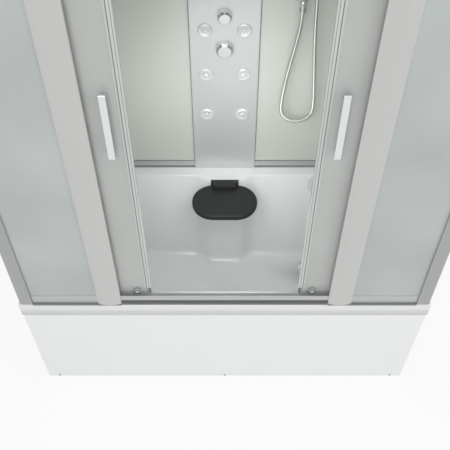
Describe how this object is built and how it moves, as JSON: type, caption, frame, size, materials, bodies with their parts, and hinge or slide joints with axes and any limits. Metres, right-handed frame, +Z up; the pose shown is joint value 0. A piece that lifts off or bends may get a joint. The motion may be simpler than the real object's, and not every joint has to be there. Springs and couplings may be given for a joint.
{
  "type": "shower cabin",
  "caption": "Rectangular shower cabin on a deep bath tray, with sliding glass doors, frosted side panes, a jet column, a folding seat, a hand shower, a rain shower and a roof.",
  "frame": {"origin": "on the floor, under the middle of the cabin's outline", "axes": "+X to the right and +Y to the back, both seen from the doors; +Z up"},
  "size_m": [1.5, 0.8, 2.15],
  "materials": {
    "tray_acrylic": "glossy white sanitary acrylic",
    "skirt_white": "smooth white acrylic sheet",
    "frame_steel": "galvanised square tube",
    "foot_plastic": "black plastic foot with a plated stud",
    "screw_steel": "zinc plated",
    "chrome": "polished chrome plate",
    "chrome_steel": "polished chrome on steel",
    "trap_plastic": "light grey drain plastic",
    "knob_white": "glossy white plastic",
    "profile_aluminium": "satin anodised",
    "mullion_aluminium": "satin anodised, bowed face",
    "rail_aluminium": "satin anodised",
    "frosted_glass": "frosted toughened glass",
    "door_glass": "frosted toughened glass",
    "painted_glass": "white back-painted glass",
    "gasket_rubber": "grey glazing gasket",
    "seal_plastic": "translucent grey magnetic seal",
    "wheel_plastic": "grey acetal",
    "column_aluminium": "satin silver sheet",
    "jet_chrome": "chrome plated plastic",
    "mixer_brass": "cast brass",
    "knob_chrome": "chrome plated plastic",
    "shower_chrome": "chrome plated plastic",
    "hose_steel": "ribbed metal shower hose",
    "roof_acrylic": "glossy white acrylic",
    "seat_black": "charcoal moulded plastic"
  },
  "bodies": {
    "cabin": {"tray": "tray_acrylic", "apron_front": "skirt_white", "side_panel_left": "skirt_white", "side_panel_right": "skirt_white", "base_frame": "frame_steel", "levelling_feet": "foot_plastic", "apron_screws": "screw_steel", "waste_flange": "chrome", "waste_trap": "trap_plastic", "corner_post_front_left": "profile_aluminium", "corner_post_front_right": "profile_aluminium", "corner_post_back_left": "profile_aluminium", "corner_post_back_right": "profile_aluminium", "mullion_left": "mullion_aluminium", "mullion_right": "mullion_aluminium", "sill_front": "rail_aluminium", "header_front": "rail_aluminium", "side_rails": "profile_aluminium", "back_rails": "rail_aluminium", "front_glass_left": "frosted_glass", "front_glass_right": "frosted_glass", "side_glass_left": "frosted_glass", "side_glass_right": "frosted_glass", "back_panel_left": "painted_glass", "back_panel_right": "painted_glass", "glazing_gaskets": "gasket_rubber", "column": "column_aluminium", "massage_jets": "jet_chrome", "mixer_body": "mixer_brass", "hose_outlet": "chrome", "slide_bar": "chrome_steel", "shower_hose": "hose_steel", "roof": "roof_acrylic", "rain_shower": "shower_chrome", "seat_bracket": "seat_black", "seat_pin": "screw_steel"},
    "door_left": {"door_glass_left": "door_glass", "door_seals_left": "seal_plastic", "door_handle_left": "chrome_steel", "door_roller_brackets_left": "chrome_steel"},
    "wheel_left_top_inner": {"door_wheel_left_top_inner": "wheel_plastic"},
    "wheel_left_top_outer": {"door_wheel_left_top_outer": "wheel_plastic"},
    "wheel_left_bottom_inner": {"door_wheel_left_bottom_inner": "wheel_plastic"},
    "wheel_left_bottom_outer": {"door_wheel_left_bottom_outer": "wheel_plastic"},
    "door_right": {"door_glass_right": "door_glass", "door_seals_right": "seal_plastic", "door_handle_right": "chrome_steel", "door_roller_brackets_right": "chrome_steel"},
    "wheel_right_top_inner": {"door_wheel_right_top_inner": "wheel_plastic"},
    "wheel_right_top_outer": {"door_wheel_right_top_outer": "wheel_plastic"},
    "wheel_right_bottom_inner": {"door_wheel_right_bottom_inner": "wheel_plastic"},
    "wheel_right_bottom_outer": {"door_wheel_right_bottom_outer": "wheel_plastic"},
    "seat": {"seat": "seat_black"},
    "overflow_knob": {"overflow_knob": "knob_white"},
    "waste_plug": {"waste_plug": "chrome"},
    "mixer_knob": {"mixer_knob": "knob_chrome"},
    "diverter_knob": {"diverter_knob": "knob_chrome"},
    "slider": {"shower_slider": "shower_chrome"},
    "hand_shower": {"shower_cradle": "shower_chrome", "handset": "shower_chrome"}
  },
  "joints": [
    {"name": "door_left_slide", "type": "slide", "parent": "cabin", "child": "door_left", "axis": [1, 0, 0], "range_m": [-0.012, 0.262]},
    {"name": "wheel_left_top_inner_spin", "type": "hinge", "parent": "door_left", "child": "wheel_left_top_inner", "pos_m": [-0.312, -0.378, 2.0283], "axis": [0, 1, 0], "range_deg": [-44, 940]},
    {"name": "wheel_left_top_outer_spin", "type": "hinge", "parent": "door_left", "child": "wheel_left_top_outer", "pos_m": [-0.636, -0.378, 2.0283], "axis": [0, 1, 0], "range_deg": [-44, 940]},
    {"name": "wheel_left_bottom_inner_spin", "type": "hinge", "parent": "door_left", "child": "wheel_left_bottom_inner", "pos_m": [-0.312, -0.378, 0.6093], "axis": [0, 1, 0], "range_deg": [-54, 1156]},
    {"name": "wheel_left_bottom_outer_spin", "type": "hinge", "parent": "door_left", "child": "wheel_left_bottom_outer", "pos_m": [-0.636, -0.378, 0.6093], "axis": [0, 1, 0], "range_deg": [-54, 1156]},
    {"name": "door_right_slide", "type": "slide", "parent": "cabin", "child": "door_right", "axis": [-1, 0, 0], "range_m": [-0.012, 0.262]},
    {"name": "wheel_right_top_inner_spin", "type": "hinge", "parent": "door_right", "child": "wheel_right_top_inner", "pos_m": [0.312, -0.378, 2.0283], "axis": [0, -1, 0], "range_deg": [-44, 940]},
    {"name": "wheel_right_top_outer_spin", "type": "hinge", "parent": "door_right", "child": "wheel_right_top_outer", "pos_m": [0.636, -0.378, 2.0283], "axis": [0, -1, 0], "range_deg": [-44, 940]},
    {"name": "wheel_right_bottom_inner_spin", "type": "hinge", "parent": "door_right", "child": "wheel_right_bottom_inner", "pos_m": [0.312, -0.378, 0.6093], "axis": [0, -1, 0], "range_deg": [-54, 1156]},
    {"name": "wheel_right_bottom_outer_spin", "type": "hinge", "parent": "door_right", "child": "wheel_right_bottom_outer", "pos_m": [0.636, -0.378, 0.6093], "axis": [0, -1, 0], "range_deg": [-54, 1156]},
    {"name": "seat_fold", "type": "hinge", "parent": "cabin", "child": "seat", "pos_m": [0, 0.194, 0.566], "axis": [-1, 0, 0], "range_deg": [0, 88]},
    {"name": "overflow_knob_turn", "type": "hinge", "parent": "cabin", "child": "overflow_knob", "pos_m": [0.378, 0.23525, 0.511], "axis": [0, -0.9701, 0.2425], "range_deg": [0, 90]},
    {"name": "waste_plug_lift", "type": "slide", "parent": "cabin", "child": "waste_plug", "axis": [0, 0, 1], "range_m": [0, 0.0101]},
    {"name": "mixer_knob_turn", "type": "hinge", "parent": "cabin", "child": "mixer_knob", "pos_m": [0, 0.28, 1.165], "axis": [0, -1, 0], "range_deg": [-60, 60]},
    {"name": "diverter_knob_turn", "type": "hinge", "parent": "cabin", "child": "diverter_knob", "pos_m": [0, 0.28, 1.3], "axis": [0, -1, 0], "range_deg": [0, 270]},
    {"name": "slider_slide", "type": "slide", "parent": "cabin", "child": "slider", "axis": [0, 0, 1], "range_m": [-0.32, 0.06], "deforming": ["shower_hose"]},
    {"name": "hand_shower_tilt", "type": "hinge", "parent": "slider", "child": "hand_shower", "pos_m": [0.3, 0.218, 1.77], "axis": [1, 0, 0], "range_deg": [-10, 30]}
  ],
  "couplings": [
    {"joint": "wheel_left_top_inner_spin", "follows": "door_left_slide", "rad_per_m": 62.5},
    {"joint": "wheel_left_top_outer_spin", "follows": "door_left_slide", "rad_per_m": 62.5},
    {"joint": "wheel_left_bottom_inner_spin", "follows": "door_left_slide", "rad_per_m": 76.923},
    {"joint": "wheel_left_bottom_outer_spin", "follows": "door_left_slide", "rad_per_m": 76.923},
    {"joint": "wheel_right_top_inner_spin", "follows": "door_right_slide", "rad_per_m": 62.5},
    {"joint": "wheel_right_top_outer_spin", "follows": "door_right_slide", "rad_per_m": 62.5},
    {"joint": "wheel_right_bottom_inner_spin", "follows": "door_right_slide", "rad_per_m": 76.923},
    {"joint": "wheel_right_bottom_outer_spin", "follows": "door_right_slide", "rad_per_m": 76.923},
    {"joint": "waste_plug_lift", "follows": "overflow_knob_turn", "m_per_rad": 0.006366}
  ]
}
